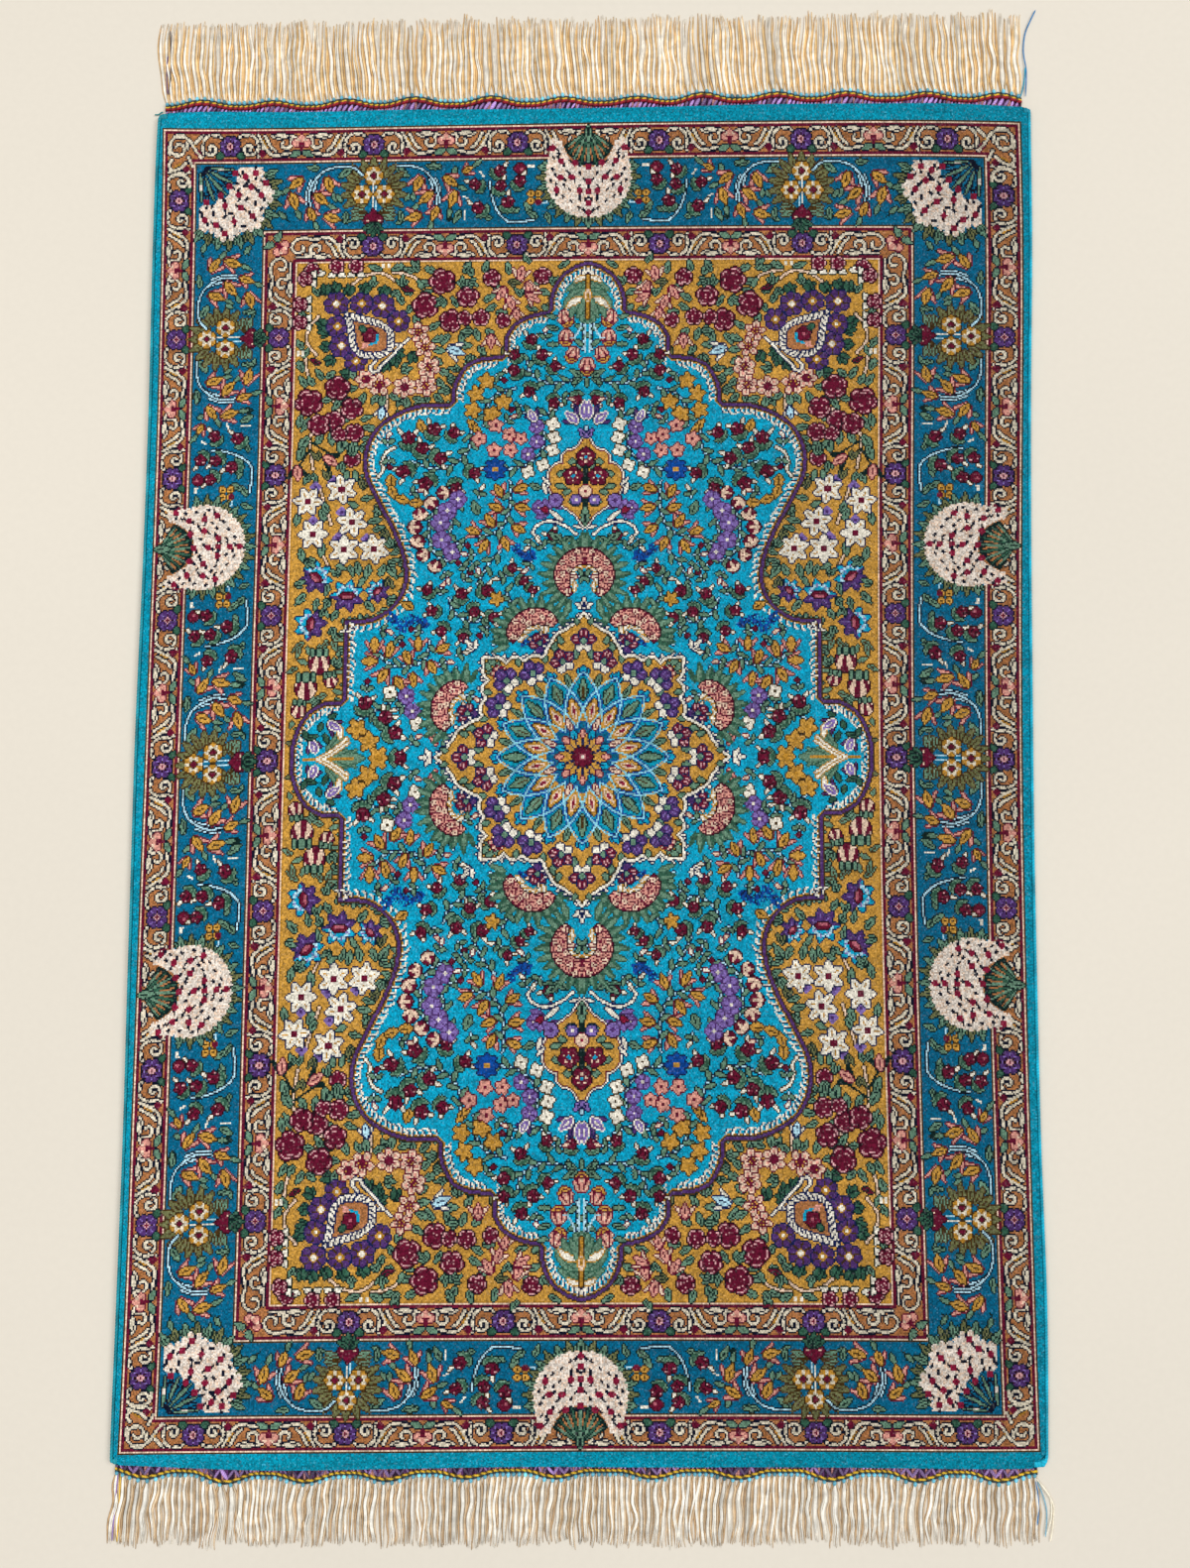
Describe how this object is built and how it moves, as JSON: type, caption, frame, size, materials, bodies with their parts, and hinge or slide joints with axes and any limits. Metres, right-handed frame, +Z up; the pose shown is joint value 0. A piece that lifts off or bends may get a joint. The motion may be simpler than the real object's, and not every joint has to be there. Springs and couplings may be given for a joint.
{
  "type": "persian rug",
  "caption": "Small flat hand-knotted rug with scalloped looped end bands, twined end cords, overcast side edges and a fringe at both ends.",
  "frame": {"origin": "middle of the flat underside of the knotted cloth, on the floor", "axes": "+Y along the rug towards the end with three cords, +X to the right of it, +Z up from the floor"},
  "size_m": [0.6099, 1.0274, 0.004],
  "materials": {
    "pile_silk": "knotted silk pile, turquoise, gold, rose and purple on a 1 mm knot",
    "selvedge_silk": "overcast turquoise silk",
    "lilac_silk": "lilac and purple wrapped silk loops",
    "red_silk": "twined dark red silk",
    "gold_silk": "twined gold silk",
    "teal_silk": "twined teal and light blue silk",
    "warp_silk": "undyed ivory silk warp ends"
  },
  "bodies": {
    "root": {"rug_body": "pile_silk", "selvedge_left": "selvedge_silk", "selvedge_right": "selvedge_silk", "loop_band_top": "lilac_silk", "loop_band_bottom": "lilac_silk", "red_cord_top": "red_silk", "gold_cord_top": "gold_silk", "teal_cord_top": "teal_silk", "gold_cord_bottom": "gold_silk", "teal_cord_bottom": "teal_silk", "fringe_top": "warp_silk", "fringe_bottom": "warp_silk"}
  },
  "joints": []
}
